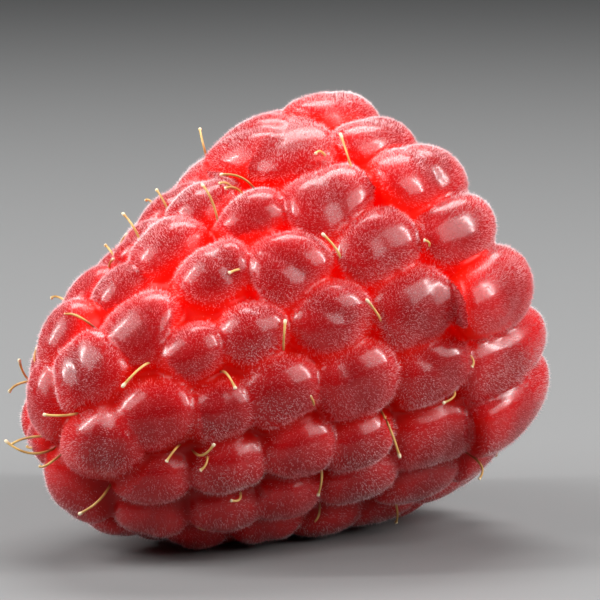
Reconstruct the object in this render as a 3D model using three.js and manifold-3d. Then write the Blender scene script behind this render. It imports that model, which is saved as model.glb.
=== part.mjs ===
// A ripe raspberry, picked off its core and lying on its side: rings of plump drupelets grown
// together around a conical hollow, with dried styles standing up from the grooves between them.
// Millimetres, +Z up. The fruit's axis lies in the XZ plane, with its tip towards -X and its open
// rim towards +X. The origin is the middle of its footprint, at the height that it rests on.

import * as THREE from 'three';
import { mergeVertices } from 'three/addons/utils/BufferGeometryUtils.js';
import Module from 'manifold-3d';

const wasm = await Module();
wasm.setup();

// The whole fruit.
const FRUIT_LENGTH = 22.6; // open rim to tip, along the fruit's own axis
const CROWN_RADIUS = 10.05; // from the axis to the crowns where the fruit is widest
const WIDEST_AT = 0.17; // share of the length
const SHOULDER_DROP = 0.3; // share of the radius that the shoulder loses at the rim
const TAPER_POWER = 1.35; // how early the sides start to draw in
const TAPER_ROUNDING = 0.4; // how blunt the tip is
const AXIS_DIP = 16.5; // degrees that the tip end drops as the fruit lies on its side
const RESTING_FLAT = 0.3; // how far the lowest crowns are pressed flat

// The hollow left by the core, as depth and radius pairs of its blunt cone.
const HOLLOW_DEPTH = 14.5;
const MOUTH_RADIUS = 4.9;
const MOUTH_DEPTH = 2.2; // where the flare of the mouth ends
const MOUTH_FLARE = 1.12;
const WAIST_DEPTH = 6.5;
const WAIST_RADIUS = 4.1;
const END_RADIUS = 2.1;
const END_ROUNDING = 1.8;

// Flesh that the drupelets share under their grooves.
const GROOVE_DEPTH = 1.35; // from the crowns down to it
const FLESH_START = 0.14; // share of the length where it has its full thickness
const FLESH_END = 0.93;
const FLESH_STEP = 0.11;
const RIM_SETBACK = 2.4; // from the rim plane to the flesh between the last drupelets
const RIM_WALL = 2.1;
const RIM_ROUNDING = 0.3;

// Drupelets: each ring's share of the length, number of drupelets, turn of its first one in
// degrees from the top of the fruit towards -Y, and how wide and long its drupelets swell.
const RINGS = [
  { at: 0.15, count: 19, first: 5, plump: 1 },
  { at: 0.345, count: 17, first: 12.5, plump: 1 },
  { at: 0.51, count: 16, first: 0.5, plump: 1 },
  { at: 0.645, count: 15, first: 12, plump: 1 },
  { at: 0.765, count: 13, first: 26.6, plump: 0.95 },
  { at: 0.885, count: 9, first: 32, plump: 0.9 },
  { at: 0.975, count: 4, first: 80, plump: 0.88 },
];
const LAST_CROWN = 0.985; // no crown is nearer to the tip than this share of the length
const DRUPELET_HEIGHT = 2.05; // from a drupelet's middle up to its crown
const DRUPELET_DEPTH = 3.2; // from its middle down to its inner end
const FULLNESS = 1.22; // half width over half the room that its ring leaves it
const OVERLAP = 0.79; // half length over the distance between rings
const RIM_OVERLAP = 0.5; // the same towards the open rim, where nothing presses back
const RIM_SLANT = 0.3; // more of it on the underside, where the rim slants back
const PILLOW_POWER = 2.15; // 2 is an ellipsoid; more is a flatter crown with fuller shoulders
const CONTACT_POWER = 12; // how crisply a drupelet flattens against its neighbours
const MERGED_CONTACT = 1.8; // how far two that grew into one reach past their shared plane
const PRESS_AROUND = 2.84; // half widths within which a neighbour presses on a drupelet
const PRESS_ALONG = 1.84; // the same in distances between rings
const PLACE_JITTER = 0.1; // share of a drupelet's own room
const SIZE_JITTER = 0.07;

// Drupelets out of step with their ring: slide is a share of the fruit's length towards the tip,
// turn is in degrees, lift is out of the common surface, size and wide are factors, and merges
// joins one to the next drupelet of its ring.
const ODD_ONES = [
  { ring: 0, place: 0, size: 1.1, lift: 0.15 },
  { ring: 0, place: 1, lift: -0.25 },
  { ring: 0, place: 2, size: 1.15 },
  { ring: 0, place: 4, slide: -0.015, size: 1.1, lift: 0.5 },
  { ring: 0, place: 5, turn: 4, size: 1.18, lift: -0.25 },
  { ring: 0, place: 6, slide: -0.015, size: 1.1, lift: 0.5 },
  { ring: 0, place: 7, lift: -0.35 },
  { ring: 0, place: 8, lift: -0.25 },
  { ring: 0, place: 17, lift: -0.5 },
  { ring: 0, place: 18, lift: -0.6 },
  { ring: 1, place: 0, turn: -1, wide: 1.35, lift: 0.2 },
  { ring: 1, place: 1, slide: 0.045, turn: 1.5, size: 1.1 },
  { ring: 1, place: 2, size: 0.94 },
  { ring: 1, place: 3, slide: -0.02, turn: 1, size: 1.18 },
  { ring: 1, place: 4, size: 0.9 },
  { ring: 1, place: 5, turn: 2, size: 1.05 },
  { ring: 1, place: 15, lift: -0.4 },
  { ring: 1, place: 16, turn: 9, wide: 1.35, lift: 0.6, merges: true },
  { ring: 2, place: 0, lift: -0.2 },
  { ring: 2, place: 1, size: 0.78 },
  { ring: 2, place: 2, slide: 0.02, turn: 1, size: 1.18 },
  { ring: 2, place: 4, size: 1.08 },
  { ring: 2, place: 5, size: 0.84 },
  { ring: 2, place: 6, turn: -6 },
  { ring: 2, place: 14, lift: -0.5 },
  { ring: 2, place: 15, lift: -0.45 },
  { ring: 3, place: 0, turn: -6, size: 1.06, lift: -0.1 },
  { ring: 3, place: 1, slide: -0.01, turn: -2 },
  { ring: 3, place: 2, size: 0.95 },
  { ring: 3, place: 13, lift: -0.7 },
  { ring: 3, place: 14, lift: -0.4 },
  { ring: 4, place: 0, slide: 0.045, turn: 6, size: 1.08, wide: 1.15 },
  { ring: 4, place: 1, size: 0.88 },
  { ring: 4, place: 3, slide: 0.02 },
  { ring: 4, place: 10, lift: -0.3 },
  { ring: 4, place: 11, lift: -0.35 },
  { ring: 4, place: 12, lift: -0.4 },
  { ring: 5, place: 0, slide: 0.055, turn: -6, size: 1.28, wide: 1.3, lift: 0.2 },
  { ring: 5, place: 1, size: 1.12, lift: 0.15 },
  { ring: 5, place: 2, slide: 0.02, turn: 3 },
  { ring: 5, place: 7, lift: -0.4 },
  { ring: 5, place: 8, turn: -5, size: 1.08, lift: 0.25 },
  { ring: 6, place: 0, size: 1.22, lift: 0.3 },
  { ring: 6, place: 1, turn: 12, size: 1.2, lift: 0.2 },
  { ring: 6, place: 2, lift: -0.3 },
  { ring: 6, place: 3, turn: -7 },
];

// Styles: stiff dry threads that stand in the grooves and bend over. Those that are set by hand
// are rows of the host's ring and place, the bearing on it and the heading of the bend, both in
// degrees from its tip side, then how far the style rises, bends over and sways sideways.
const STYLES = [
  [0, 3, 350, 50, 0.8, 0.7, 0.1], [0, 5, 40, -30, 0.8, 0.6, 0.1], [0, 6, 320, -27, 0.4, 0.9, 0.1],
  [0, 6, 285, 90, 0.8, 2, -0.3], [0, 8, 150, -107, 0.6, 0.9, 0.1], [1, 0, 350, 45, 0.8, 1.6, -0.3],
  [1, 0, 250, -4, 0.8, 0.8, 0.1], [1, 1, 190, 103, 0.8, 2.8, -0.5], [1, 2, 350, 85, 0.8, 1.9, 0.2],
  [1, 3, 340, 80, 0.6, 2.1, 0.25], [1, 4, 230, 3, 0.8, 1.3, 0.1], [1, 6, 290, -101, 0.8, 1.8, 0.1],
  [1, 16, 60, 138, 0.8, 1.5, 0.2], [2, 0, 230, 85, 0.8, 0.7, 0.3], [2, 0, 60, 121, 0.8, 1.6, 0.1],
  [2, 1, 30, 118, 1.1, 1.9, 0.3], [2, 1, 120, 20, 0.8, 0.9, -0.1], [2, 2, 30, 15, 0.7, 1.1, 0.1],
  [2, 3, 350, 75, 0.8, 1.2, -1], [2, 4, 230, -81, 0.8, 2.2, 0.4], [2, 5, 220, -73, 0.4, 1.2, 0.4],
  [2, 6, 210, 0, 0.4, 2.1, -0.6], [2, 7, 60, -72, 0.4, 1.1, 0], [2, 15, 110, 103, 1.2, 0.6, 0.1],
  [3, 0, 50, 126, 1.2, 2.2, 0.5], [3, 3, 230, 85, 0.8, 0.9, 0.1], [3, 4, 220, -69, 0.4, 1.5, 0.1],
  [3, 5, 190, 21, 0.4, 1.9, 0.2], [3, 6, 40, -96, 0.4, 1.2, 0], [3, 14, 40, 126, 0.8, 1.5, 0.2],
  [4, 0, 40, -108, 0.8, 1.3, 0.2], [4, 1, 250, -100, 0.6, 1.3, -0.3], [4, 1, 10, 0, 0.8, 2.2, 0.5],
  [4, 2, 330, -160, 0.8, 0.8, 0.8], [4, 3, 50, -39, 0.8, 0.8, 0], [4, 3, 250, -30, 0.5, 0.6, -0.5],
  [4, 4, 320, 174, 0.4, 0.9, 0.3], [4, 11, 80, 114, 1.2, 2, 0.2], [4, 11, 205, -80, 0.4, 1.2, 0.2],
  [4, 12, 50, -41, 0.4, 1.7, 0.1], [5, 1, 250, -17, 0.8, 0.9, 0.2], [5, 2, 340, -35, 0.8, 1.9, 0.1],
  [5, 8, 260, 106, 0.8, 1.2, 0.3], [6, 0, 60, 30, 0.8, 1.5, 0.2], [6, 0, 160, -50, 0.4, 0.7, 0.5],
  [6, 1, 10, -79, 0.8, 0.6, 0.1], [6, 1, 350, -49, 0.8, 2.1, 0.2], [6, 3, 20, 87, 0.8, 1.9, 0.1],
  [6, 3, 130, 79, 0.8, 1.3, 0.2],
];
const STYLE_RADIUS = 0.08; // to the corners of a three-sided thread as thick as a round one of 0.1
const STYLE_ROOT = 1.9; // how far below the groove a style starts
const STYLE_GROOVE = 0.9; // from a crown down to the groove beside it
const STYLE_RISE = [0.5, 1.1]; // least and most that the other styles rise
const STYLE_BEND = [0.8, 2.2]; // least and most that they bend over
const STYLE_CROOK = 0.35; // most that they sway to either side
const STYLE_SIDE = -0.35; // the other styles stand where the sine of the turn is less than this
const STYLE_SHARE = 0.5; // share of the drupelets there that keep theirs
const STYLE_CLEARANCE = 0.15; // any lower than this over the resting plane has broken off

// Fineness of the faceted solid.
const DRUPELET_SEGMENTS = [9, 9, 9, 9, 8, 8, 8]; // ring by ring
const DRUPELET_ROWS = 6;
const FRUIT_SEGMENTS = 20;
const STYLE_SIDES = 3;
const STYLE_STEPS = 3;

// Qualities that are drawn by chance, each from its own stretch of the sequence.
const CHANCE = {
  size: 1,
  turn: 2,
  slip: 3,
  height: 4,
  styleBearing: 5,
  styleRise: 6,
  styleHeading: 7,
  styleBend: 8,
  styleCrook: 9,
  styleKept: 10,
};

/** A repeatable draw from 0 to 1 for one drupelet and one of its qualities. */
function draw(index, quality) {
  const wave = Math.sin(index * 12.9898 + quality * 78.233) * 43758.5453;
  return wave - Math.floor(wave);
}

/** The same draw, from -1 to 1. */
function swing(index, quality) {
  return 2 * draw(index, quality) - 1;
}

/** Distance from the axis to the crowns at a share of the length: a blunt cone that starts level
 *  where the fruit is widest, and a parabolic shoulder from there back to the rim. */
function crownRadius(share) {
  if (share < WIDEST_AT) {
    const back = (WIDEST_AT - share) / WIDEST_AT;
    return CROWN_RADIUS * (1 - SHOULDER_DROP * back ** 2);
  }
  const along = Math.min((share - WIDEST_AT) / (1 - WIDEST_AT), 1);
  return CROWN_RADIUS * (1 - along ** TAPER_POWER) ** TAPER_ROUNDING;
}

/** The point and the outward normal of the crown surface, with +Y from rim to tip. */
function crownAt(share, turn) {
  const step = 0.004;
  const rise = crownRadius(share + step) - crownRadius(share - step);
  const slope = Math.atan2(-rise, 2 * step * FRUIT_LENGTH);
  const out = new THREE.Vector3(Math.cos(turn), 0, Math.sin(turn));
  const point = out.clone().multiplyScalar(crownRadius(share));
  point.y = share * FRUIT_LENGTH;
  const normal = out.multiplyScalar(Math.cos(slope));
  normal.y = Math.sin(slope);
  return { point, normal };
}

/** Distance along the crown surface between a ring and its neighbouring rings. */
function roomAlong(level) {
  const before = RINGS[Math.max(level - 1, 0)];
  const after = RINGS[Math.min(level + 1, RINGS.length - 1)];
  const steps = level === 0 || level === RINGS.length - 1 ? 1 : 2;
  const rise = crownRadius(before.at) - crownRadius(after.at);
  return Math.hypot((after.at - before.at) * FRUIT_LENGTH, rise) / steps;
}

/** One drupelet: its middle, its own axes (around, along, outwards), and its half sizes forwards
 *  and backwards along them. */
function drupelet(index, level, place) {
  const ring = RINGS[level];
  const odd = ODD_ONES.find((one) => one.ring === level && one.place === place) ?? {};
  const size = (odd.size ?? 1) * (1 + SIZE_JITTER * swing(index, CHANCE.size));
  const height = DRUPELET_HEIGHT * (1 + SIZE_JITTER * swing(index, CHANCE.height));
  const halfAround = (Math.PI * (crownRadius(ring.at) - DRUPELET_HEIGHT / 2)) / ring.count;
  const wander = (PLACE_JITTER * halfAround * swing(index, CHANCE.turn)) / crownRadius(ring.at);
  const slip = (PLACE_JITTER * roomAlong(level) * swing(index, CHANCE.slip)) / FRUIT_LENGTH;
  const degrees = ring.first + (360 * place) / ring.count + (odd.turn ?? 0);
  const turn = THREE.MathUtils.degToRad(degrees);
  const share = Math.min(ring.at + (odd.slide ?? 0) + slip, LAST_CROWN);
  const { point, normal } = crownAt(share, turn + wander);
  const around = new THREE.Vector3(0, 1, 0).cross(normal).normalize();
  const rimOverlap = RIM_OVERLAP + (RIM_SLANT * (1 - Math.cos(turn))) / 2;
  const halfWidth = halfAround * FULLNESS * size * ring.plump * (odd.wide ?? 1);
  const halfLength = roomAlong(level) * size * ring.plump;
  return {
    index,
    level,
    size,
    turn,
    reach: Math.max(halfAround * PRESS_AROUND, roomAlong(level) * PRESS_ALONG) * size,
    centre: point.addScaledVector(normal, (odd.lift ?? 0) - height),
    axes: [around, normal.clone().cross(around), normal],
    halves: [halfWidth, halfLength * OVERLAP, height],
    backHalves: [halfWidth, halfLength * (level === 0 ? rimOverlap : OVERLAP), DRUPELET_DEPTH],
    mergesWith: odd.merges ? index + 1 - (place === ring.count - 1 ? ring.count : 0) : null,
  };
}

/** All drupelets, ring by ring from the rim to the tip. */
function layOutDrupelets() {
  const drupelets = [];
  RINGS.forEach((ring, level) => {
    for (let place = 0; place < ring.count; place += 1) {
      drupelets.push(drupelet(drupelets.length, level, place));
    }
  });
  return drupelets;
}

/** The flat contacts of one drupelet: for each near neighbour, the direction to it and the
 *  distance to the plane between them, shared out by their sizes. */
function contactsOf(one, drupelets) {
  const contacts = [];
  for (const other of drupelets) {
    const towards = other.centre.clone().sub(one.centre);
    const distance = towards.length();
    if (other !== one && distance < one.reach) {
      const merged = one.mergesWith === other.index || other.mergesWith === one.index;
      const share = (one.size / (one.size + other.size)) * (merged ? MERGED_CONTACT : 1);
      contacts.push({ direction: towards.divideScalar(distance), plane: distance * share });
    }
  }
  return contacts;
}

/** Turns a geometry into a solid for cutting and joining. */
function solid(geometry) {
  geometry.deleteAttribute('normal');
  geometry.deleteAttribute('uv');
  const merged = mergeVertices(geometry, 1e-4);
  const vertProperties = new Float32Array(merged.attributes.position.array);
  const triVerts = new Uint32Array(merged.index.array);
  return new wasm.Manifold(new wasm.Mesh({ numProp: 3, vertProperties, triVerts }));
}

/** Turns a solid back into a geometry. */
function toGeometry(body) {
  const mesh = body.getMesh();
  const geometry = new THREE.BufferGeometry();
  const positions = new THREE.BufferAttribute(new Float32Array(mesh.vertProperties), 3);
  geometry.setAttribute('position', positions);
  geometry.setIndex(new THREE.BufferAttribute(new Uint32Array(mesh.triVerts), 1));
  return geometry;
}

/** A drupelet's solid: a sphere whose every ray is shortened, softly, to the nearest of a
 *  flat-crowned pillow and the contact planes. One side of its outline faces the rim squarely. */
function drupeletSolid(one, contacts) {
  const segments = DRUPELET_SEGMENTS[one.level];
  const squareBack = Math.PI / 2 - Math.PI / segments;
  const geometry = new THREE.SphereGeometry(1, segments, DRUPELET_ROWS, squareBack);
  const [around, along, outwards] = one.axes;
  geometry.applyMatrix4(new THREE.Matrix4().makeBasis(around, outwards, along.clone().negate()));
  const position = geometry.attributes.position;
  const ray = new THREE.Vector3();
  for (let v = 0; v < position.count; v += 1) {
    ray.fromBufferAttribute(position, v).normalize();
    let pillow = 0;
    one.axes.forEach((axis, k) => {
      const part = ray.dot(axis);
      const half = part > 0 ? one.halves[k] : one.backHalves[k];
      pillow += (Math.abs(part) / half) ** PILLOW_POWER;
    });
    let nearness = pillow ** (CONTACT_POWER / PILLOW_POWER);
    for (const { direction, plane } of contacts) {
      nearness += Math.max(ray.dot(direction) / plane, 0) ** CONTACT_POWER;
    }
    ray.multiplyScalar(nearness ** (-1 / CONTACT_POWER)).add(one.centre);
    position.setXYZ(v, ray.x, ray.y, ray.z);
  }
  return solid(geometry);
}

/** Profile points of the hollow from its end, on the axis, out to the flare of its mouth. */
function hollowProfile() {
  return [
    new THREE.Vector2(0, HOLLOW_DEPTH),
    new THREE.Vector2(END_RADIUS * Math.SQRT1_2, HOLLOW_DEPTH - END_ROUNDING * (1 - Math.SQRT1_2)),
    new THREE.Vector2(END_RADIUS, HOLLOW_DEPTH - END_ROUNDING),
    new THREE.Vector2(WAIST_RADIUS, WAIST_DEPTH),
    new THREE.Vector2(MOUTH_RADIUS, MOUTH_DEPTH),
  ];
}

/** The flesh under the grooves: a closed cup between the hollow and the groove surface. */
function fleshSolid() {
  const profile = hollowProfile();
  profile.push(new THREE.Vector2(MOUTH_RADIUS, RIM_SETBACK));
  profile.push(new THREE.Vector2(MOUTH_RADIUS + RIM_WALL, RIM_SETBACK + RIM_ROUNDING));
  for (let share = FLESH_START; share < FLESH_END; share += FLESH_STEP) {
    profile.push(new THREE.Vector2(crownRadius(share) - GROOVE_DEPTH, share * FRUIT_LENGTH));
  }
  profile.push(new THREE.Vector2(0, FRUIT_LENGTH - GROOVE_DEPTH));
  return solid(new THREE.LatheGeometry(profile, FRUIT_SEGMENTS));
}

/** The space that the core left, run out well past the rim so that it cuts the mouth clear. */
function hollowSolid() {
  const profile = hollowProfile();
  profile.push(new THREE.Vector2(MOUTH_RADIUS * MOUTH_FLARE, 0));
  profile.push(new THREE.Vector2(MOUTH_RADIUS * MOUTH_FLARE, -MOUTH_RADIUS));
  profile.push(new THREE.Vector2(0, -MOUTH_RADIUS));
  profile.reverse();
  return solid(new THREE.LatheGeometry(profile, FRUIT_SEGMENTS));
}

/** All styles: those set by hand, and those drawn by chance for other drupelets of the far side.
 *  Angles are in radians. */
function layOutStyles(drupelets) {
  const styles = STYLES.map(([level, place, bearing, heading, rise, bend, crook]) => ({
    host: drupelets.filter((one) => one.level === level)[place],
    bearing: THREE.MathUtils.degToRad(bearing),
    heading: THREE.MathUtils.degToRad(heading),
    rise,
    bend,
    crook,
  }));
  const hosts = new Set(styles.map((style) => style.host));
  for (const host of drupelets) {
    const kept = draw(host.index, CHANCE.styleKept) < STYLE_SHARE;
    if (kept && Math.sin(host.turn) < STYLE_SIDE && !hosts.has(host)) {
      styles.push({
        host,
        bearing: Math.PI * swing(host.index, CHANCE.styleBearing),
        heading: Math.PI * swing(host.index, CHANCE.styleHeading),
        rise: THREE.MathUtils.lerp(...STYLE_RISE, draw(host.index, CHANCE.styleRise)),
        bend: THREE.MathUtils.lerp(...STYLE_BEND, draw(host.index, CHANCE.styleBend)),
        crook: STYLE_CROOK * swing(host.index, CHANCE.styleCrook),
      });
    }
  }
  return styles;
}

/** The direction along a drupelet's surface at an angle from its tip side. */
function levelWay(one, angle) {
  const [around, along] = one.axes;
  const way = along.clone().multiplyScalar(Math.cos(angle));
  return way.addScaledVector(around, Math.sin(angle));
}

/** How far a drupelet reaches along a bearing: to the edge of its pillow, or to the nearest of
 *  the planes where it presses on its neighbours. */
function edgeDistance(one, contacts, bearing) {
  const halfLength = Math.cos(bearing) > 0 ? one.halves[1] : one.backHalves[1];
  const across = Math.abs(Math.sin(bearing) / one.halves[0]) ** PILLOW_POWER;
  const lengthwise = Math.abs(Math.cos(bearing) / halfLength) ** PILLOW_POWER;
  let edge = (across + lengthwise) ** (-1 / PILLOW_POWER);
  const way = levelWay(one, bearing);
  for (const { direction, plane } of contacts) {
    edge = Math.min(edge, plane / Math.max(way.dot(direction), 1e-3));
  }
  return edge;
}

/** The path of a style: up out of the groove where its host meets a neighbour, half-way up and
 *  swayed to a side, and over to the head in the direction that it bends. */
function stylePath({ host, bearing, heading, rise, bend, crook }, contacts) {
  const outwards = host.axes[2];
  const over = levelWay(host, heading).multiplyScalar(bend);
  const sway = levelWay(host, heading + Math.PI / 2).multiplyScalar(crook);
  const groove = host.centre.clone().addScaledVector(outwards, host.halves[2] - STYLE_GROOVE);
  groove.addScaledVector(levelWay(host, bearing), edgeDistance(host, contacts, bearing));
  const root = groove.clone().addScaledVector(outwards, -STYLE_ROOT);
  const foot = groove.clone().add(sway);
  const knee = foot.clone().addScaledVector(outwards, rise).addScaledVector(over, 0.3);
  const head = groove.clone().addScaledVector(outwards, rise * 0.8).add(over);
  return new THREE.CubicBezierCurve3(root, foot, knee, head);
}

/** A style's solid: a slim prism drawn along its path. */
function styleSolid(path) {
  const corners = Array.from({ length: STYLE_SIDES }, (_, k) => {
    const angle = (2 * Math.PI * k) / STYLE_SIDES;
    return new THREE.Vector2(STYLE_RADIUS * Math.cos(angle), STYLE_RADIUS * Math.sin(angle));
  });
  const settings = { steps: STYLE_STEPS, extrudePath: path, bevelEnabled: false };
  return solid(new THREE.ExtrudeGeometry(new THREE.Shape(corners), settings));
}

/** Turns the upright fruit (+Y from rim to tip) onto its side, tip towards -X and dipping. */
function lyingDown() {
  const dip = THREE.MathUtils.degToRad(AXIS_DIP);
  const top = new THREE.Vector3(-Math.sin(dip), 0, Math.cos(dip));
  const axis = new THREE.Vector3(-Math.cos(dip), 0, -Math.sin(dip));
  return new THREE.Matrix4().makeBasis(top, axis, new THREE.Vector3(0, -1, 0));
}

/** The lowest height of a body once it lies down. */
function lowestLying(body) {
  const geometry = toGeometry(body).applyMatrix4(lyingDown());
  geometry.computeBoundingBox();
  return geometry.boundingBox.min.z;
}

/** Everything below a height, for the fruit lying down, in the upright fruit's frame. */
function belowSolid(height) {
  const below = new THREE.BoxGeometry(3 * FRUIT_LENGTH, 3 * FRUIT_LENGTH, FRUIT_LENGTH);
  below.translate(0, 0, height - FRUIT_LENGTH / 2);
  return solid(below.applyMatrix4(lyingDown().invert()));
}

/** The whole fruit as one body, lying on the flats of its lowest crowns. */
function raspberryGeometry() {
  const drupelets = layOutDrupelets();
  const crowns = drupelets.map((one) => drupeletSolid(one, contactsOf(one, drupelets)));
  let fruit = crowns.reduce((sum, crown) => sum.add(crown), fleshSolid());
  fruit = fruit.subtract(hollowSolid());
  const table = lowestLying(fruit) + RESTING_FLAT;
  const lying = lyingDown();
  for (const style of layOutStyles(drupelets)) {
    const path = stylePath(style, contactsOf(style.host, drupelets));
    const heights = path.getPoints(STYLE_STEPS).map((point) => point.applyMatrix4(lying).z);
    if (Math.min(...heights) > table + STYLE_CLEARANCE) fruit = fruit.add(styleSolid(path));
  }
  const geometry = toGeometry(fruit.subtract(belowSolid(table))).applyMatrix4(lying);
  geometry.computeBoundingBox();
  const middle = geometry.boundingBox.getCenter(new THREE.Vector3());
  return geometry.translate(-middle.x, -middle.y, -table);
}

const flesh = new THREE.MeshStandardMaterial({ color: 0xc81e2c, roughness: 0.55, metalness: 0 });
const raspberry = new THREE.Mesh(raspberryGeometry(), flesh);
raspberry.name = 'raspberry';

const group = new THREE.Group();
group.add(raspberry);

export default group;
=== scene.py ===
import bpy
import numpy as np
from mathutils import Matrix, Vector


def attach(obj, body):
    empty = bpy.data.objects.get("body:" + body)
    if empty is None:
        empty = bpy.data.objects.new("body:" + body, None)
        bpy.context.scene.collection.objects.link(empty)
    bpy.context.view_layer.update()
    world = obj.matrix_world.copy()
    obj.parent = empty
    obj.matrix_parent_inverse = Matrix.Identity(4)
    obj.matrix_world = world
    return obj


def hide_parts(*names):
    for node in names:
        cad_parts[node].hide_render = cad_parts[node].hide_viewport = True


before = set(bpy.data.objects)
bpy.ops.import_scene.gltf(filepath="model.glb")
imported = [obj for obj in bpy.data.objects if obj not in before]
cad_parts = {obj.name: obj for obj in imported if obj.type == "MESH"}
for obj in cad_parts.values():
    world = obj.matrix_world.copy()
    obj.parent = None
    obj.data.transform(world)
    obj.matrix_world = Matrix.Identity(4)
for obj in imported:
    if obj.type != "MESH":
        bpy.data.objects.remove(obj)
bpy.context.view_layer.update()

# ---------------------------------------------------------------------------------------------
# How the fruit lies. It was picked off its core and set down on its side: its axis dips towards
# the tip, which points towards -X, and the lowest crowns are pressed flat on the surface. Shapes
# are worked out in mm, with +Y along the axis from rim to tip, and then laid down like this.
# ---------------------------------------------------------------------------------------------
FRUIT_LENGTH = 22.6  # mm, open rim to tip, along the fruit's own axis
AXIS_DIP = np.radians(16.5)
AXIS_WAY = np.array([-np.cos(AXIS_DIP), 0.0, -np.sin(AXIS_DIP)])  # from the rim to the tip
TOP_WAY = np.array([-np.sin(AXIS_DIP), 0.0, np.cos(AXIS_DIP)])  # square to it, upwards
SIDE_WAY = np.array([0.0, -1.0, 0.0])
MIDDLE_SHARE = 0.45  # of the length, from the rim
AXIS_MIDDLE = np.array([0.9, 0.16, 8.43])  # mm, the axis at that share of the length
RIM_CENTRE = AXIS_MIDDLE - AXIS_WAY * MIDDLE_SHARE * FRUIT_LENGTH


def laid_down(points):
    """Points turned and moved from the upright fruit to the lying one: +X goes to its top, +Y
    along its axis and +Z to its side."""
    return (points[..., :1] * TOP_WAY + points[..., 1:2] * AXIS_WAY + points[..., 2:] * SIDE_WAY
            + RIM_CENTRE)


# ---------------------------------------------------------------------------------------------
# Drupelets: plump skins full of juice, each round one seed. They swell until they press flat
# against their neighbours, in rings that start at the open rim and close at the tip.
# ---------------------------------------------------------------------------------------------
CROWN_RADIUS = 10.05  # mm from the axis to the crowns at the widest place
WIDEST_AT = 0.17  # share of the length
SHOULDER_DROP = 0.3  # share of that radius lost at the rim
TAPER_POWER = 1.35
TAPER_ROUNDING = 0.4
RING_AT = np.array([0.15, 0.345, 0.51, 0.645, 0.765, 0.885, 0.975])  # shares of the length
RING_COUNT = np.array([19, 17, 16, 15, 13, 9, 4])
RING_TURN = np.array([5, 12.5, 0.5, 12, 26.6, 32, 80])  # degrees from the top towards -Y
RING_PLUMP = np.array([1, 1, 1, 1, 0.95, 0.9, 0.88])  # size factors, less towards the tip
LAST_CROWN = 0.985  # share of the length past which no crown is put
DRUPELET_HEIGHT = 2.05  # mm that a crown stands out from the drupelet's middle
DRUPELET_DEPTH = 3.2  # mm that it reaches inwards from there
FULLNESS = 1.22  # half width, as a share of the room that it has in its ring
OVERLAP = 0.79  # half length, as a share of the room between the rings
RIM_OVERLAP = 0.5  # the same for the first ring, towards the rim
RIM_SLANT = 0.3  # more of it on the lower side, as the fruit was pulled off at a slant
PILLOW_POWER = 2.15  # 2 makes an ellipsoid, and a little more makes flatter crowns
CONTACT_POWER = 12  # the higher, the sharper the edge of a pressed face
MERGED_CONTACT = 1.8  # how much farther off that face is between two that grew into one
PRESS_AROUND = 2.84  # half widths within which two drupelets press on each other
PRESS_ALONG = 1.84  # the same in lengths of room between rings
PLACE_JITTER = 0.1  # most that one strays, as a share of its room
SIZE_JITTER = 0.07  # most that its size varies
# Drupelets out of step with their ring, by ring and place: slide is a share of the length towards
# the tip, turn is in degrees, lift is in mm out of the common surface, size and wide are factors,
# and notch is the share of its size that is bitten in on its tip side.
ODD_ONES = {
    (0, 0): dict(size=1.1, lift=0.15), (0, 1): dict(lift=-0.25), (0, 2): dict(size=1.15),
    (0, 4): dict(slide=-0.015, size=1.1, lift=0.5), (0, 5): dict(turn=4, size=1.18, lift=-0.25),
    (0, 6): dict(slide=-0.015, size=1.1, lift=0.5), (0, 7): dict(lift=-0.35),
    (0, 8): dict(lift=-0.25), (0, 17): dict(lift=-0.5), (0, 18): dict(lift=-0.6),
    (1, 0): dict(turn=-1, lift=0.2, wide=1.35), (1, 1): dict(slide=0.045, turn=1.5, size=1.1),
    (1, 2): dict(size=0.94), (1, 3): dict(slide=-0.02, turn=1, size=1.18), (1, 4): dict(size=0.9),
    (1, 5): dict(turn=2, size=1.05), (1, 15): dict(lift=-0.4),
    (1, 16): dict(turn=9, lift=0.6, wide=1.35), (2, 0): dict(lift=-0.2), (2, 1): dict(size=0.78),
    (2, 2): dict(slide=0.02, turn=1, size=1.18, notch=0.2), (2, 4): dict(size=1.08),
    (2, 5): dict(size=0.84), (2, 6): dict(turn=-6), (2, 14): dict(lift=-0.5),
    (2, 15): dict(lift=-0.45),
    (3, 0): dict(turn=-6, size=1.06, lift=-0.1), (3, 1): dict(slide=-0.01, turn=-2),
    (3, 2): dict(size=0.95), (3, 13): dict(lift=-0.7), (3, 14): dict(lift=-0.4),
    (4, 0): dict(slide=0.045, turn=6, size=1.08, wide=1.15), (4, 1): dict(size=0.88),
    (4, 3): dict(slide=0.02), (4, 10): dict(lift=-0.3), (4, 11): dict(lift=-0.35),
    (4, 12): dict(lift=-0.4), (5, 0): dict(slide=0.055, turn=-6, size=1.28, wide=1.3, lift=0.2),
    (5, 1): dict(size=1.12, lift=0.15), (5, 2): dict(slide=0.02, turn=3), (5, 7): dict(lift=-0.4),
    (5, 8): dict(turn=-5, size=1.08, lift=0.25), (6, 0): dict(size=1.22, lift=0.3),
    (6, 1): dict(turn=12, size=1.2, lift=0.2), (6, 2): dict(lift=-0.3), (6, 3): dict(turn=-7)}
MERGED = ((1, 16), (1, 0))  # two of the second ring that grew into one


def draw(index, quality):
    """A repeatable draw from 0 to 1 for each index and numbered quality: the part after the point
    of a large sine."""
    wave = np.sin(index * 12.9898 + quality * 78.233) * 43758.5453
    return wave - np.floor(wave)


def swing(index, quality):
    """The same draw, from -1 to 1."""
    return 2 * draw(index, quality) - 1


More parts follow.
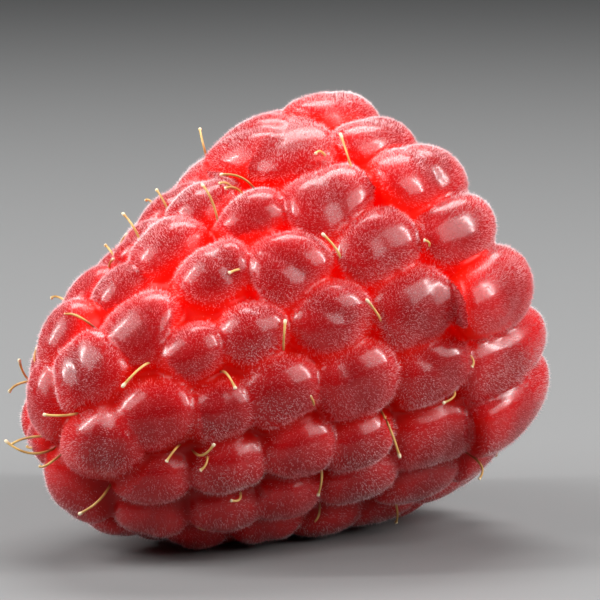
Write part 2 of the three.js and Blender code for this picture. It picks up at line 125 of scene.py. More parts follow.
def crown_radius(share):
    """Distance from the axis to the crowns: a blunt cone (1 - x^power)^rounding from the widest
    place to the tip, and a parabolic shoulder from there back to the rim."""
    back_share = np.maximum(WIDEST_AT - share, 0) / WIDEST_AT
    along = np.clip((share - WIDEST_AT) / (1 - WIDEST_AT), 0, 1)
    return CROWN_RADIUS * (1 - SHOULDER_DROP * back_share ** 2) * (
        1 - along ** TAPER_POWER) ** TAPER_ROUNDING


every_ring = np.arange(RING_COUNT.size)
ring_of = np.repeat(every_ring, RING_COUNT)
place_of = np.concatenate([np.arange(count) for count in RING_COUNT])
number = np.arange(ring_of.size)


def odd(quality, otherwise):
    """One value per drupelet: its own for the odd ones, and the usual one for the rest."""
    return np.array([ODD_ONES.get(at, {}).get(quality, otherwise) for at in zip(ring_of, place_of)])


ring_before = np.maximum(every_ring - 1, 0)
ring_after = np.minimum(every_ring + 1, every_ring[-1])
room_along = np.hypot((RING_AT[ring_after] - RING_AT[ring_before]) * FRUIT_LENGTH,
                      crown_radius(RING_AT[ring_before]) - crown_radius(RING_AT[ring_after]))
room_along = (room_along / (ring_after - ring_before))[ring_of]
half_around = (np.pi * (crown_radius(RING_AT) - DRUPELET_HEIGHT / 2) / RING_COUNT)[ring_of]
size = odd("size", 1) * (1 + SIZE_JITTER * swing(number, 1))
height = DRUPELET_HEIGHT * (1 + SIZE_JITTER * swing(number, 4))
turn = np.radians(RING_TURN[ring_of] + 360 * place_of / RING_COUNT[ring_of] + odd("turn", 0))
wander = PLACE_JITTER * half_around * swing(number, 2) / crown_radius(RING_AT[ring_of])
slip = PLACE_JITTER * room_along * swing(number, 3) / FRUIT_LENGTH
share = np.minimum(RING_AT[ring_of] + odd("slide", 0) + slip, LAST_CROWN)
SLOPE_STEP = 0.004  # share of the length to each side of a crown
slope = np.arctan2(crown_radius(share - SLOPE_STEP) - crown_radius(share + SLOPE_STEP),
                   2 * SLOPE_STEP * FRUIT_LENGTH)
way = turn + wander
outwards = np.stack([np.cos(way) * np.cos(slope), np.sin(slope), np.sin(way) * np.cos(slope)], 1)
crown = np.stack([crown_radius(share) * np.cos(way), share * FRUIT_LENGTH,
                  crown_radius(share) * np.sin(way)], 1)
centre = crown - outwards * (height - odd("lift", 0))[:, None]


def unit(vectors):
    """The same directions, each one long."""
    return vectors / np.linalg.norm(vectors, axis=-1, keepdims=True)


around = unit(np.cross([0.0, 1.0, 0.0], outwards))
along = np.cross(outwards, around)

press_reach = np.maximum(half_around * PRESS_AROUND, room_along * PRESS_ALONG) * size
gap = centre[None] - centre[:, None]
spacing = np.linalg.norm(gap, axis=2) + 1e3 * np.eye(number.size)
is_merged = np.array([at in MERGED for at in zip(ring_of, place_of)])
merged_pair = is_merged[:, None] & is_merged[None]
contact_plane = spacing * size[:, None] / (size[:, None] + size[None]) * np.where(
    merged_pair, MERGED_CONTACT, 1)
contact_plane[spacing > press_reach[:, None]] = np.inf
contact_way = gap / spacing[..., None]
NEIGHBOURS = 14  # the nearest alone press, as they stand between it and the rest
nearest = np.argsort(spacing, axis=1)[:, :NEIGHBOURS]
contact_plane = np.take_along_axis(contact_plane, nearest, axis=1)
contact_way = np.take_along_axis(contact_way, nearest[..., None], axis=1)

rim_overlap = RIM_OVERLAP + RIM_SLANT * (1 - np.cos(turn)) / 2
back_overlap = np.where(ring_of == 0, rim_overlap, OVERLAP)
plump = size * RING_PLUMP[ring_of]
half_width = half_around * FULLNESS * plump * odd("wide", 1)
half_length = room_along * plump
fronts = np.stack([half_width, half_length * OVERLAP, height], 1)
backs = np.stack([half_width, half_length * back_overlap, 0 * number + DRUPELET_DEPTH], 1)

HOLLOW_DEPTH = 14.5  # mm that the core's hollow reaches in from the rim
HOLLOW_PLACES = [0, 2.2, 6.5, 12.7, 13.97, HOLLOW_DEPTH]  # mm in from the rim
HOLLOW_RADII = [5.49, 4.9, 4.1, 2.1, 1.48, 0]
INNER_BULGE = 0.3  # mm that a drupelet's inner end stands into the hollow
# What unevenness takes off a drupelet, as shares of its size. A dent's spread is the fall in the
# cosine from its middle over which it fades.
DIMPLE = 0.1
DIMPLE_SPREAD = 0.05
DIMPLE_ASIDE, DIMPLE_AHEAD = 0.8, 0.7  # most that it lies to a side, and how far outwards
NOTCH_WAY = (-0.1, 0.9, 0.45)  # around, along and outwards
NOTCH_SPREAD = 0.03
FOLD = 0.085
FOLD_WIDTH = 0.2
FOLD_TURN, FOLD_SWING = 90, 45  # degrees from the way round the fruit to the way across the fold
FOLD_ASIDE = 0.4  # most that it lies to a side
WOBBLE = 0.035
GRID_ROWS = 44
GRID_COLUMNS = 66


def hollow_radius(place):
    """The hollow's radius at a distance in from the rim: straight stretches between its places."""
    return np.interp(place, HOLLOW_PLACES, HOLLOW_RADII)


axis_gap = np.hypot(centre[:, 0], centre[:, 2])
inner_plane = (axis_gap - hollow_radius(centre[:, 1])) * np.cos(slope) + INNER_BULGE
contact_plane = np.concatenate([contact_plane, inner_plane[:, None]], 1)
contact_way = np.concatenate([contact_way, -outwards[:, None]], 1)


def dent(deepest, way, rays, fall):
    """Share of each drupelet's size that a round dent takes off along its rays: the deepest share
    times e^((cosine - 1) / fall), with the cosine between the ray and the dent's own way."""
    cosine = np.einsum("nrcd,nd->nrc", rays, way)
    return deepest[:, None, None] * np.exp((cosine - 1) / fall)


def dimples_and_notch(rays, axes):
    """Share of its size that each drupelet's own dimple and the one notch take off."""
    dimple_way = np.stack([DIMPLE_ASIDE * swing(number, 11), DIMPLE_ASIDE * swing(number, 12),
                           0 * number + DIMPLE_AHEAD], 1)
    dimple_way = unit(np.einsum("nk,nkd->nd", dimple_way, axes))
    notch_way = unit(np.einsum("k,nkd->nd", NOTCH_WAY, axes))
    return (dent(DIMPLE * draw(number, 13) ** 2, dimple_way, rays, DIMPLE_SPREAD)
            + dent(odd("notch", 0), notch_way, rays, NOTCH_SPREAD))


def folds(local):
    """Share of its size that a fold across the crown takes off: a bell curve of the distance from
    the fold's line, times how far outwards the ray points."""
    fold_turn = np.radians(FOLD_TURN + FOLD_SWING * swing(number, 22))[:, None, None]
    across = (local[..., 0] * np.cos(fold_turn) + local[..., 1] * np.sin(fold_turn)
              - FOLD_ASIDE * swing(number, 23)[:, None, None])
    fold = FOLD * draw(number, 24)[:, None, None] * np.exp(-(across / FOLD_WIDTH) ** 2)
    return fold * np.maximum(local[..., 2], 0)


def waver(polar, bearing):
    """Factor that makes each outline uneven: one plus two cosine waves round it, with two and
    three lobes, that fade towards the crown."""
    lobes = sum(swing(number, 14 + k)[:, None, None] * np.cos(
        k * bearing + np.pi * swing(number, 17 + k)[:, None, None]) for k in (2, 3))
    return 1 + WOBBLE * lobes * np.sin(polar) ** 2


def drupelet_skins():
    """Every drupelet at once, as a function of polar angle and bearing: along each ray from its
    middle, the skin is at 1 / (pillow^c + sum of contact^c)^(1/c), a soft meeting of a flat-crowned
    pillow with the planes where it presses on its neighbours, less what its unevenness takes."""
    polar = np.linspace(0, np.pi, GRID_ROWS)[:, None]
    bearing = np.linspace(0, 2 * np.pi, GRID_COLUMNS, endpoint=False)[None]
    local = np.stack([np.sin(polar) * np.cos(bearing), np.sin(polar) * np.sin(bearing),
                      np.cos(polar) + 0 * bearing], 2)
    axes = np.stack([around, along, outwards], 1)
    rays = np.einsum("rck,nkd->nrcd", local, axes)
    halves = np.where(local[None] > 0, fronts[:, None, None], backs[:, None, None])
    pillow = (np.abs(local[None] / halves) ** PILLOW_POWER).sum(3)
    press = np.maximum(np.einsum("nrcd,nmd->nrcm", rays, contact_way), 0)
    press = (press / contact_plane[:, None, None]) ** CONTACT_POWER
    reach = (pillow ** (CONTACT_POWER / PILLOW_POWER) + press.sum(3)) ** (-1 / CONTACT_POWER)
    reach = reach * waver(polar, bearing) * (1 - dimples_and_notch(rays, axes) - folds(local))
    return centre[:, None, None] + rays * reach[..., None]


def closed_grid(counts, first):
    """Quads between the rows of one grid of points, wrapped round from the last column to the
    first. The grid has so many rows and columns, and its points are numbered on from the first."""
    rows, columns = counts
    r, c = np.meshgrid(np.arange(rows - 1), np.arange(columns), indexing="ij")
    after = (c + 1) % columns
    corners = [r * columns + c, r * columns + after, (r + 1) * columns + after,
               (r + 1) * columns + c]
    return first + np.stack(corners, -1).reshape(-1, 4)


# ---------------------------------------------------------------------------------------------
# The flesh that the drupelets share under their grooves: a thick cup that grew round the core,
# open at the rim and hollow where the core was.
# ---------------------------------------------------------------------------------------------
GROOVE_DEPTH = 1.35  # mm from the crowns down to it
CUP_WALL = np.array([14.5, 14.3, 13.97, 12.7, 10, 8, 6.5, 4, 3.1])  # mm in from the rim
CUP_RIM = np.array([[5.3, 2.9], [6.1, 2.95], [6.9, 3.2]])  # mm from the axis, and in from the rim
CUP_BACK = np.arange(0.14, 0.95, 0.03)  # shares of the length, rim to tip
CUP_TURNS = 72


def cup_skin():
    """A profile turned about the axis: from the hollow's end out along its wall, round the rim,
    and back along the groove surface, a fixed depth under the crowns, to the tip."""
    wall = np.stack([hollow_radius(CUP_WALL), CUP_WALL], 1)
    outer = np.stack([crown_radius(CUP_BACK) - GROOVE_DEPTH, CUP_BACK * FRUIT_LENGTH], 1)
    profile = np.concatenate([wall, CUP_RIM, outer, [[0, FRUIT_LENGTH - GROOVE_DEPTH]]])
    bearing = np.linspace(0, 2 * np.pi, CUP_TURNS, endpoint=False)
    return np.stack([profile[:, :1] * np.cos(bearing), profile[:, 1:] + 0 * bearing,
                     profile[:, :1] * np.sin(bearing)], 2)


# ---------------------------------------------------------------------------------------------
# One skin of ripe flesh round all of these, as they grew: it runs over every crown, down into the
# grooves, over the rim and down the wall of the hollow, without a seam.
# ---------------------------------------------------------------------------------------------
MM = 0.001  # Blender's unit is the metre
VOXEL = 0.17  # mm
SOFTENING = 0.5  # share by which one smoothing pass draws each point to its neighbours


def mesh_of(points, faces, name):
    """A Blender mesh from arrays of points and of equal-sided faces."""
    mesh = bpy.data.meshes.new(name)
    mesh.vertices.add(len(points))
    mesh.vertices.foreach_set("co", np.ascontiguousarray(points, dtype=np.float32).ravel())
    sides = faces.shape[1]
    mesh.loops.add(faces.size)
    mesh.loops.foreach_set("vertex_index", np.ascontiguousarray(faces, dtype=np.int32).ravel())
    mesh.polygons.add(len(faces))
    mesh.polygons.foreach_set("loop_start", np.arange(len(faces), dtype=np.int32) * sides)
    mesh.update(calc_edges=True)
    mesh.validate()
    return mesh


def placed(name, data):
    """A new object with this data, put into the scene."""
    made = bpy.data.objects.new(name, data)
    bpy.context.scene.collection.objects.link(made)
    return made


def grown_together(grids):
    """One skin round everything that the grids enclose: a fine voxel remesh, then softening."""
    first = np.cumsum([0] + [grid.shape[0] * grid.shape[1] for grid in grids])
    faces = [closed_grid(grid.shape[:2], start) for grid, start in zip(grids, first)]
    mesh = mesh_of(np.concatenate([grid.reshape(-1, 3) for grid in grids]),
                   np.concatenate(faces), "raw skins")
    raw = placed("raw skins", mesh)
    remesh = raw.modifiers.new("grown together", "REMESH")
    remesh.mode = "VOXEL"
    remesh.voxel_size = VOXEL
    smooth = raw.modifiers.new("softened", "SMOOTH")
    smooth.iterations = 1
    smooth.factor = SOFTENING
    grown = raw.evaluated_get(bpy.context.evaluated_depsgraph_get()).to_mesh()
    points = np.empty(len(grown.vertices) * 3, np.float32)
    grown.vertices.foreach_get("co", points)
    corners = np.empty(len(grown.loops), np.int32)
    grown.loops.foreach_get("vertex_index", corners)
    raw.to_mesh_clear()
    bpy.data.objects.remove(raw)
    bpy.data.meshes.remove(mesh)
    return points.reshape(-1, 3).astype(float), corners.reshape(-1, 4)


skin, skin_faces = grown_together([*drupelet_skins(), cup_skin()])
lying = laid_down(skin)
lying[:, 2] = np.maximum(lying[:, 2], 0)  # pressed flat where it lies
flesh_mesh = mesh_of(lying * MM, skin_faces, "raspberry_flesh")
flesh_mesh.polygons.foreach_set("use_smooth", np.ones(len(skin_faces), bool))
flesh = placed("raspberry_flesh", flesh_mesh)
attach(flesh, "root")
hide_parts("raspberry")

# What the materials and the fuzz need to know of each point: which drupelet it is on, how far it
# faces out from that one's middle, how deep it is under the crown, and how near the hollow.
RIM_SIDE = (2.2, 3.6)  # mm in from the rim, where the skin turns over towards the hollow
RIM_GROOVE = 4.0  # mm that a drupelet's full size stands for on that side
LINING_DEPTH = 1.3  # mm round the hollow over which the flesh loses its colour
LINING_END = 0.3  # mm past the hollow's end that this still holds
SCAR_FACING = (-0.93, -0.99)  # how far inwards a point faces at a scar's edge and in its middle
SCAR_EDGE = 0.5  # mm to the next drupelet over which a scar fades out
from_middle = np.linalg.norm(skin[:, None] - centre[None], axis=2) / size
owner = from_middle.argmin(1)
from_edge = np.diff(np.partition(from_middle, 1, axis=1)[:, :2], axis=1)[:, 0]
from_owner = skin - centre[owner]
own = np.stack([(from_owner * axis[owner]).sum(1) for axis in (around, along, outwards)], 1)
facing = own[:, 2] / np.linalg.norm(from_owner, axis=1)
own_halves = np.where(own > 0, fronts[owner], backs[owner])
fullness = (np.abs(own / own_halves) ** PILLOW_POWER).sum(1) ** (1 / PILLOW_POWER)
rim_side = np.clip((RIM_SIDE[1] - skin[:, 1]) / (RIM_SIDE[1] - RIM_SIDE[0]), 0, 1)
below_crown = ((1 - rim_side) * (height[owner] - own[:, 2])
               + rim_side * RIM_GROOVE * (1 - fullness))
from_hollow = np.hypot(skin[:, 0], skin[:, 2]) - hollow_radius(skin[:, 1])
lining = (np.clip(1 - from_hollow / LINING_DEPTH, 0, 1)
          * (skin[:, 1] < HOLLOW_DEPTH + LINING_END))
scar = (np.clip((facing - SCAR_FACING[0]) / (SCAR_FACING[1] - SCAR_FACING[0]), 0, 1)
        * np.clip(from_edge / SCAR_EDGE, 0, 1))


def attribute(mesh, name, values):
    """Stores one number per vertex for the materials to read."""
    mesh.attributes.new(name, "FLOAT", "POINT").data.foreach_set(
        "value", np.ascontiguousarray(values, dtype=np.float32))


attribute(flesh_mesh, "facing", facing)
attribute(flesh_mesh, "below_crown", below_crown)
attribute(flesh_mesh, "lining", lining)
attribute(flesh_mesh, "scar", scar)


def shader(name):
    """A new material with its node tree, and its Principled BSDF."""
    material = bpy.data.materials.new(name)
    material.use_nodes = True
    return material, material.node_tree, material.node_tree.nodes["Principled BSDF"]


def node(tree, kind, values=(), **settings):
    """Adds a node, sets its settings, and fills its inputs with values or links by input name."""
    made = tree.nodes.new(kind)
    for key, value in settings.items():
        setattr(made, key, value)
    for key, value in dict(values).items():
        if isinstance(value, bpy.types.NodeSocket):
            tree.links.new(value, made.inputs[key])
        else:
            made.inputs[key].default_value = value
    return made


def read(tree, name):
    """The socket that carries one of the mesh's own attributes."""
    return node(tree, "ShaderNodeAttribute", attribute_name=name).outputs["Fac"]


def mixed(tree, share, low, high):
    """Colour between two others, by a share that is a socket or a number."""
    mix = node(tree, "ShaderNodeMix", data_type="RGBA")
    for slot, value in ((0, share), (6, low), (7, high)):
        if isinstance(value, bpy.types.NodeSocket):
            tree.links.new(value, mix.inputs[slot])
        else:
            mix.inputs[slot].default_value = value
    return mix.outputs[2]


def spread(tree, value, low, high, to_low=0.0, to_high=1.0):
    """A value carried from one range to another with smooth ends."""
    return node(tree, "ShaderNodeMapRange", {"Value": value, "From Min": low, "From Max": high,
                                             "To Min": to_low, "To Max": to_high},
                interpolation_type="SMOOTHSTEP").outputs["Result"]


# Ripe skin is dark crimson and cloudy on the crowns. The grooves' colour is a painted glow of light
# that has passed through the juicy flesh, painted brighter higher up, where the light comes from.
# The lining is pale, with a paler scar on each inner end.
RIPE = (0.48, 0.002, 0.004, 1)
RIPE_DARK = (0.28, 0.001, 0.003, 1)
# GLOW and GLOW_LOW are painted light: the grooves' glow, high up and low down.
GLOW = (0.86, 0.008, 0.001, 1)
GLOW_LOW = (0.36, 0.001, 0.001, 1)
LINING = (0.58, 0.11, 0.105, 1)
LINING_SCAR = (0.66, 0.21, 0.185, 1)
CROWN_FROM, CROWN_TO = 0.70, 0.97  # how far outwards a point faces, as the crown grows darker
GROOVE_FROM, GROOVE_TO = 0.35, 1.1  # mm under the crown over which the groove's painted glow comes in
GLOW_FROM, GLOW_TO = 0.002, 0.013  # m up, over which the painted glow brightens, as painted light from above
COAT_CROWN, COAT_DULL = 0.58, 0.08  # gloss on the crowns, and in the grooves and the lining
skin_material, tree, bsdf = shader("ripe drupelet skin")
place = node(tree, "ShaderNodeTexCoord").outputs["Object"]
clouds = node(tree, "ShaderNodeTexNoise", {"Vector": place, "Scale": 420.0, "Detail": 3.0})
grain = node(tree, "ShaderNodeTexNoise", {"Vector": place, "Scale": 5200.0, "Detail": 2.0})
crown_share = spread(tree, read(tree, "facing"), CROWN_FROM, CROWN_TO)
groove_share = spread(tree, read(tree, "below_crown"), GROOVE_FROM, GROOVE_TO)
cloudy = spread(tree, clouds.outputs["Fac"], 0.3, 0.7, 0.55, 1.0)
dark_share = node(tree, "ShaderNodeMath", {0: cloudy, 1: crown_share}, operation="MULTIPLY")
crown_colour = mixed(tree, dark_share.outputs["Value"], RIPE, RIPE_DARK)
# Painted light: the grooves' glow is painted brighter higher up, then mixed in over the grooves.
rise = node(tree, "ShaderNodeSeparateXYZ", {"Vector": place}).outputs["Z"]
glow = mixed(tree, spread(tree, rise, GLOW_FROM, GLOW_TO), GLOW_LOW, GLOW)
crown_and_painted_glow = mixed(tree, groove_share, crown_colour, glow)
lining_share = spread(tree, read(tree, "lining"), 0.0, 1.0)
pith = mixed(tree, spread(tree, read(tree, "scar"), 0.0, 1.0), LINING, LINING_SCAR)
tree.links.new(mixed(tree, lining_share, crown_and_painted_glow, pith), bsdf.inputs["Base Color"])
bump = node(tree, "ShaderNodeBump", {"Height": grain.outputs["Fac"], "Strength": 0.25,
                                     "Distance": 0.00002})
tree.links.new(bump.outputs["Normal"], bsdf.inputs["Normal"])
dull = node(tree, "ShaderNodeMath", {0: groove_share, 1: lining_share}, operation="MAXIMUM")
coat = spread(tree, dull.outputs["Value"], 0.0, 1.0, COAT_CROWN, COAT_DULL)
tree.links.new(coat, bsdf.inputs["Coat Weight"])
bsdf.inputs["Coat Roughness"].default_value = 0.16
bsdf.inputs["Roughness"].default_value = 0.36
bsdf.inputs["Specular IOR Level"].default_value = 0.14
bsdf.inputs["Subsurface Weight"].default_value = 1.0
bsdf.inputs["Subsurface Radius"].default_value = (1.0, 0.10, 0.06)
bsdf.inputs["Subsurface Scale"].default_value = 0.005
flesh.data.materials.append(skin_material)

# ---------------------------------------------------------------------------------------------
# Fuzz: short, fine, pale hairs that stand all over the drupelets, densest on their crowns. Each
# is a closed three-sided needle with its root sunk in the skin.
# ---------------------------------------------------------------------------------------------
FUZZ_PIECES = 4
FUZZ_HAIRS = 48000  # in each piece
FUZZ_LENGTH = (0.06, 0.12)  # mm
FUZZ_THICKNESS = 0.018
LONG_SHARE = 0.2  # of the hairs that are longer and finer
LONG_LENGTH = (0.12, 0.22)
LONG_THICKNESS = 0.012
FUZZ_ROOT = 0.02  # mm under the skin
FUZZ_LEAN = 0.3  # most that a hair leans over, as a share of its length
BALD_DEPTH = 1.15  # mm under the crown where the fuzz ends
THINNING = 0.55  # mm over which it ends
STRAY_SHARE = 0.03  # of the full density, in the grooves
PAINTED_SHADE_SHARE = 0.2  # of the full density where the fruit lies, thinned as painted shade
FULL_RISE = 12  # mm up, where it is full
LINING_EDGE = 0.4  # share of the lining at which the fuzz has ended
FUZZ_FACING = -0.1  # how far inwards a place may face and still have fuzz
FUZZ_CLEARANCE = 0.12  # mm up, under which none grows
HAIR_PINK = (0.88, 0.38, 0.4, 1)
HAIR_PALE = (1.0, 0.74, 0.76, 1)


def needles(roots, ways, lengths, thickness):
    """Closed needles: a small triangle square to each way, 120 degrees apart, and one far point."""
    side = unit(np.cross(ways, [0.31, 0.59, 0.74]))
    other = np.cross(ways, side)
    turns = np.radians([0, 120, 240])
    ring = (np.cos(turns)[:, None] * side[:, None] + np.sin(turns)[:, None] * other[:, None])
    ring = roots[:, None] + ring * thickness[:, None, None] / 2
    points = np.concatenate([ring, (roots + ways * lengths[:, None])[:, None]], 1)
    faces = np.array([[0, 2, 1], [0, 1, 3], [1, 2, 3], [2, 0, 3]])
    return points.reshape(-1, 3), (np.arange(len(roots))[:, None, None] * 4 + faces).reshape(-1, 3)


chance = np.random.default_rng(11)
quads = lying[skin_faces]
across = np.cross(quads[:, 2] - quads[:, 0], quads[:, 3] - quads[:, 1])
area = np.linalg.norm(across, axis=1) / 2
face_way = unit(across)
face_rise = quads[:, :, 2].mean(1)
on_crown = np.clip((BALD_DEPTH - below_crown[skin_faces].mean(1)) / THINNING, 0, 1)
density = STRAY_SHARE + (1 - STRAY_SHARE) * on_crown
density *= np.clip(1 - lining[skin_faces].mean(1) / LINING_EDGE, 0, 1)
# Pale fuzz thins towards the bottom, up to FULL_RISE: painted shade, darker low down.
density *= PAINTED_SHADE_SHARE + (1 - PAINTED_SHADE_SHARE) * np.clip(face_rise / FULL_RISE, 0, 1)
outside = (facing[skin_faces].mean(1) > FUZZ_FACING) | (rim_side[skin_faces].mean(1) > 0.5)
weight = area * density * (outside & (face_rise > FUZZ_CLEARANCE))
weight /= weight.sum()
hair_material, tree, bsdf = shader("pale fuzz")
place = node(tree, "ShaderNodeTexCoord").outputs["Object"]
tint = node(tree, "ShaderNodeTexNoise", {"Vector": place, "Scale": 300.0, "Detail": 1.0})
pale = mixed(tree, spread(tree, tint.outputs["Fac"], 0.4, 0.6), HAIR_PINK, HAIR_PALE)
tree.links.new(pale, bsdf.inputs["Base Color"])
bsdf.inputs["Roughness"].default_value = 0.35
bsdf.inputs["Specular IOR Level"].default_value = 0.8
for piece in range(FUZZ_PIECES):
    chosen = chance.choice(len(weight), FUZZ_HAIRS, p=weight)
    u, v = chance.random((2, FUZZ_HAIRS, 1))
    corner = quads[chosen]
    root = ((corner[:, 0] * (1 - u) + corner[:, 1] * u) * (1 - v)
            + (corner[:, 3] * (1 - u) + corner[:, 2] * u) * v)
    lean = unit(chance.normal(size=(FUZZ_HAIRS, 3))) * FUZZ_LEAN * chance.random((FUZZ_HAIRS, 1))
    way = unit(face_way[chosen] + lean)
    is_long = chance.random(FUZZ_HAIRS) < LONG_SHARE
    stretch = chance.random(FUZZ_HAIRS)
    length = np.where(is_long, LONG_LENGTH[0] + (LONG_LENGTH[1] - LONG_LENGTH[0]) * stretch,
                      FUZZ_LENGTH[0] + (FUZZ_LENGTH[1] - FUZZ_LENGTH[0]) * stretch)
    thickness = np.where(is_long, LONG_THICKNESS, FUZZ_THICKNESS)
    points, faces = needles(root - way * FUZZ_ROOT, way, length + FUZZ_ROOT, thickness)
    points[:, 2] = np.maximum(points[:, 2], 0)
    name = f"fuzz_{piece + 1}"
    fuzz = placed(name, mesh_of(points * MM, faces, name))
    fuzz.data.materials.append(hair_material)
    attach(fuzz, "root")

# ---------------------------------------------------------------------------------------------
# Styles: stiff dry threads left from the flower, about one to a drupelet. Each stands out of the
# groove beside its drupelet, bends over and ends in a slightly swollen, paler head.
# ---------------------------------------------------------------------------------------------
STYLE_RADIUS = 0.05  # mm
STYLE_HEAD = 0.085  # mm, the head's radius
STYLE_FLARE = 0.25  # share by which the root is thicker
STYLE_ROOT = 1.9  # mm under the groove
STYLE_GROOVE = 0.9  # mm from a crown down to the groove beside it
STYLE_DRAG = 0.3  # share of the bend that the third knot already has
STYLE_DROOP = 0.8  # the last knot's rise, as a share of the third one's
STYLE_RISE = (0.5, 1.1)  # mm that the drawn ones stand out
STYLE_BEND = (0.8, 2.2)  # mm that they bend over
STYLE_CROOK = 0.35  # mm that their middle sways
STYLE_CLEARANCE = 0.15  # mm above the surface that the fruit lies on
STYLE_SIDES = 6
STYLE_RINGS = 18
HEAD_AT = 0.975  # share of the path
HEAD_SPREAD = 0.022  # share of the path over which the head swells and falls
HEAD_STEPS = [0.955, 0.97, 0.985, 0.996, 1.0]  # shares of the path, close together for the head
FAR_SIDE = -0.35  # sine of a drupelet's turn, past which its style is drawn
ROOT_BROWN = (0.3, 0.05, 0.012, 1)
STRAW = (0.5, 0.24, 0.05, 1)
STRAW_PALE = (0.8, 0.5, 0.16, 1)
HEAD_CREAM = (0.9, 0.76, 0.52, 1)
# Ring and place of a drupelet, degrees round it from its tip side at which the style stands,
# degrees towards which it bends, mm that it stands out, mm that it bends over and mm that its
# middle sways. A scratch program worked most places, headings and bends out from roots and heads
# read off the photograph by eye; the rest is set by eye. Each other drupelet on the far side has
# one as well, with drawn values.
STYLES = [
    (0, 3, 350, 50, 0.8, 0.7, 0.1), (0, 5, 40, -30, 0.8, 0.6, 0.1),
    (0, 6, 320, -27, 0.4, 0.9, 0.1), (0, 6, 285, 90, 0.8, 2.0, -0.3),
    (0, 8, 150, -107, 0.6, 0.9, 0.1), (1, 0, 350, 45, 0.8, 1.6, -0.3),
    (1, 0, 250, -4, 0.8, 0.8, 0.1), (1, 1, 190, 103, 0.8, 2.8, -0.5),
    (1, 2, 350, 85, 0.8, 1.9, 0.2), (1, 3, 340, 80, 0.6, 2.1, 0.25), (1, 4, 230, 3, 0.8, 1.3, 0.1),
    (1, 6, 290, -101, 0.8, 1.8, 0.1), (1, 16, 60, 138, 0.8, 1.5, 0.2),
    (2, 0, 230, 85, 0.8, 0.7, 0.3), (2, 0, 60, 121, 0.8, 1.6, 0.1), (2, 1, 30, 118, 1.1, 1.9, 0.3),
    (2, 1, 120, 20, 0.8, 0.9, -0.1), (2, 2, 30, 15, 0.7, 1.1, 0.1),
    (2, 3, 350, 75, 0.8, 1.2, -1.0), (2, 4, 230, -81, 0.8, 2.2, 0.4),
    (2, 5, 220, -73, 0.4, 1.2, 0.4), (2, 6, 210, 0, 0.4, 2.1, -0.6),
    (2, 7, 60, -72, 0.4, 1.1, 0.0), (2, 15, 110, 103, 1.2, 0.6, 0.1),
    (3, 0, 50, 126, 1.2, 2.2, 0.5), (3, 3, 230, 85, 0.8, 0.9, 0.1),
    (3, 4, 220, -69, 0.4, 1.5, 0.1), (3, 5, 190, 21, 0.4, 1.9, 0.2),
    (3, 6, 40, -96, 0.4, 1.2, 0.0), (3, 14, 40, 126, 0.8, 1.5, 0.2),
    (4, 0, 40, -108, 0.8, 1.3, 0.2), (4, 1, 250, -100, 0.6, 1.3, -0.3),
    (4, 1, 10, 0, 0.8, 2.2, 0.5), (4, 2, 330, -160, 0.8, 0.8, 0.8), (4, 3, 50, -39, 0.8, 0.8, 0.0),
    (4, 3, 250, -30, 0.5, 0.6, -0.5), (4, 4, 320, 174, 0.4, 0.9, 0.3),
    (4, 11, 80, 114, 1.2, 2.0, 0.2), (4, 11, 205, -80, 0.4, 1.2, 0.2),
    (4, 12, 50, -41, 0.4, 1.7, 0.1), (5, 1, 250, -17, 0.8, 0.9, 0.2),
    (5, 2, 340, -35, 0.8, 1.9, 0.1), (5, 8, 260, 106, 0.8, 1.2, 0.3),
    (6, 0, 60, 30, 0.8, 1.5, 0.2), (6, 0, 160, -50, 0.4, 0.7, 0.5), (6, 1, 10, -79, 0.8, 0.6, 0.1),
    (6, 1, 350, -49, 0.8, 2.1, 0.2), (6, 3, 20, 87, 0.8, 1.9, 0.1), (6, 3, 130, 79, 0.8, 1.3, 0.2)]

chosen = np.array(STYLES)
ring_start = np.cumsum(RING_COUNT) - RING_COUNT
host = ring_start[chosen[:, 0].astype(int)] + chosen[:, 1].astype(int)
spare = np.setdiff1d(number[np.sin(turn) < FAR_SIDE], host)
host = np.concatenate([host, spare])
bearing = np.radians(np.concatenate([chosen[:, 2], 180 * swing(spare, 5)]))
heading = np.radians(np.concatenate([chosen[:, 3], 180 * swing(spare, 7)]))
rise = np.concatenate([chosen[:, 4], STYLE_RISE[0] + np.diff(STYLE_RISE) * draw(spare, 6)])
bend = np.concatenate([chosen[:, 5], STYLE_BEND[0] + np.diff(STYLE_BEND) * draw(spare, 8)])
crook = np.concatenate([chosen[:, 6], STYLE_CROOK * swing(spare, 9)])


def level(angles):
    """Directions square to each host's own outward one, at an angle from its tip side."""
    return along[host] * np.cos(angles)[:, None] + around[host] * np.sin(angles)[:, None]


def style_knots():
    """Four knots a style: down in the flesh, out of the groove where the host drupelet meets its
    neighbour, half-way up and swayed to a side, and the head, bent over to where it heads."""
    edge_way = level(bearing)
    press = np.maximum(np.einsum("nmd,nd->nm", contact_way[host], edge_way), 1e-3)
    local = np.stack([np.sin(bearing), np.cos(bearing)], 1)
    halves = np.where(local > 0, fronts[host, :2], backs[host, :2])
    pillow = (np.abs(local / halves) ** PILLOW_POWER).sum(1) ** (-1 / PILLOW_POWER)
    edge = np.minimum((contact_plane[host] / press).min(1), pillow)[:, None]
    out = outwards[host]
    groove = centre[host] + edge_way * edge + out * (height[host] - STYLE_GROOVE)[:, None]
    over = level(heading) * bend[:, None]
    sway = level(heading + np.pi / 2) * crook[:, None]
    upwards = out * rise[:, None]
    return np.stack([groove - out * STYLE_ROOT, groove + sway,
                     groove + upwards + sway + over * STYLE_DRAG,
                     groove + upwards * STYLE_DROOP + over], 1)


